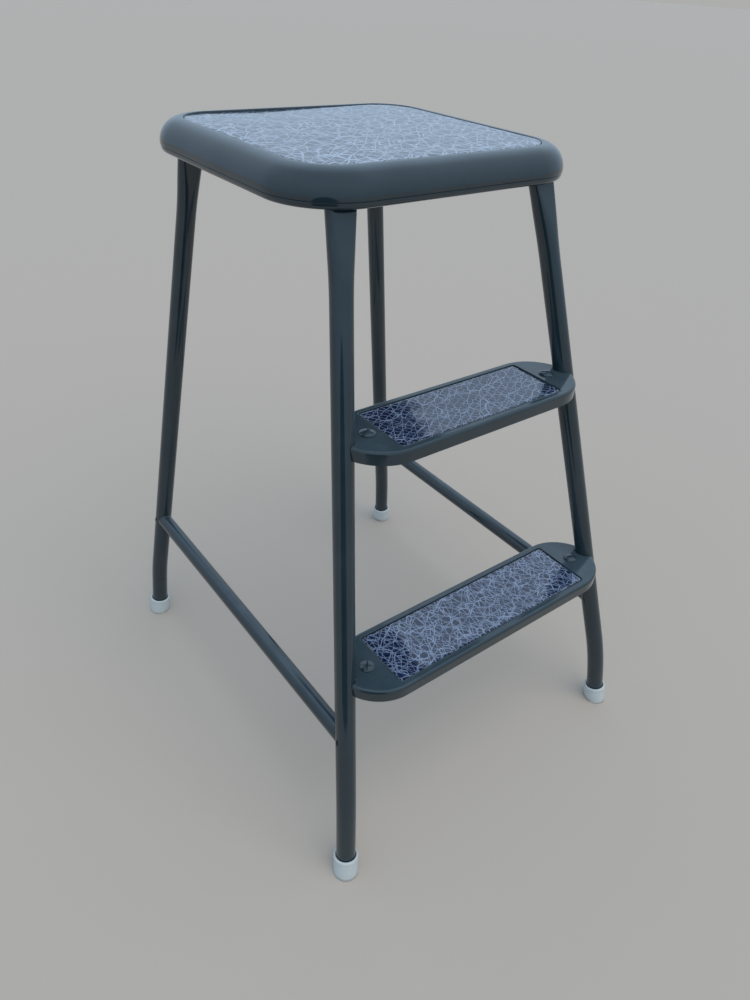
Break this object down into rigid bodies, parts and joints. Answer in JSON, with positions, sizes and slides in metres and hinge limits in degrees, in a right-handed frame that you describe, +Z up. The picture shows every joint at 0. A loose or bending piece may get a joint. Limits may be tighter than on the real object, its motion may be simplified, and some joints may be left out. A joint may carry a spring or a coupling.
{
  "type": "step stool",
  "caption": "Rigid step stool: a square round-cornered seat on splayed tube legs, with pressed steps between the front legs and a stretcher on each side.",
  "frame": {"origin": "on the floor, midway between the feet", "axes": "+Z up, -Y towards the front where the steps are, +X to the right seen from the front"},
  "size_m": [0.406, 0.4674, 0.61],
  "materials": {
    "enamel": "gloss enamel",
    "inset": "glossy laminate with a fine pale crackle pattern",
    "ferrule": "satin, pale grey",
    "hardware": "plain zinc"
  },
  "bodies": {
    "root": {"seat_pan": "enamel", "seat_bearer_left": "enamel", "seat_bearer_right": "enamel", "leg_front_left": "enamel", "leg_front_right": "enamel", "leg_rear_left": "enamel", "leg_rear_right": "enamel", "side_stretcher_left": "enamel", "side_stretcher_right": "enamel", "stretcher_bolt_left": "enamel", "stretcher_bolt_right": "enamel", "upper_step": "enamel", "lower_step": "enamel", "upper_step_lug_left": "enamel", "upper_step_lug_right": "enamel", "lower_step_lug_left": "enamel", "lower_step_lug_right": "enamel", "upper_step_screw_left": "enamel", "upper_step_screw_right": "enamel", "lower_step_screw_left": "enamel", "lower_step_screw_right": "enamel", "seat_inset": "inset", "upper_step_inset": "inset", "lower_step_inset": "inset", "ferrule_front_left": "ferrule", "ferrule_front_right": "ferrule", "ferrule_rear_left": "ferrule", "ferrule_rear_right": "ferrule", "stretcher_plug_left": "hardware", "stretcher_plug_right": "hardware", "upper_step_nut_left": "hardware", "upper_step_nut_right": "hardware", "lower_step_nut_left": "hardware", "lower_step_nut_right": "hardware"}
  },
  "joints": []
}
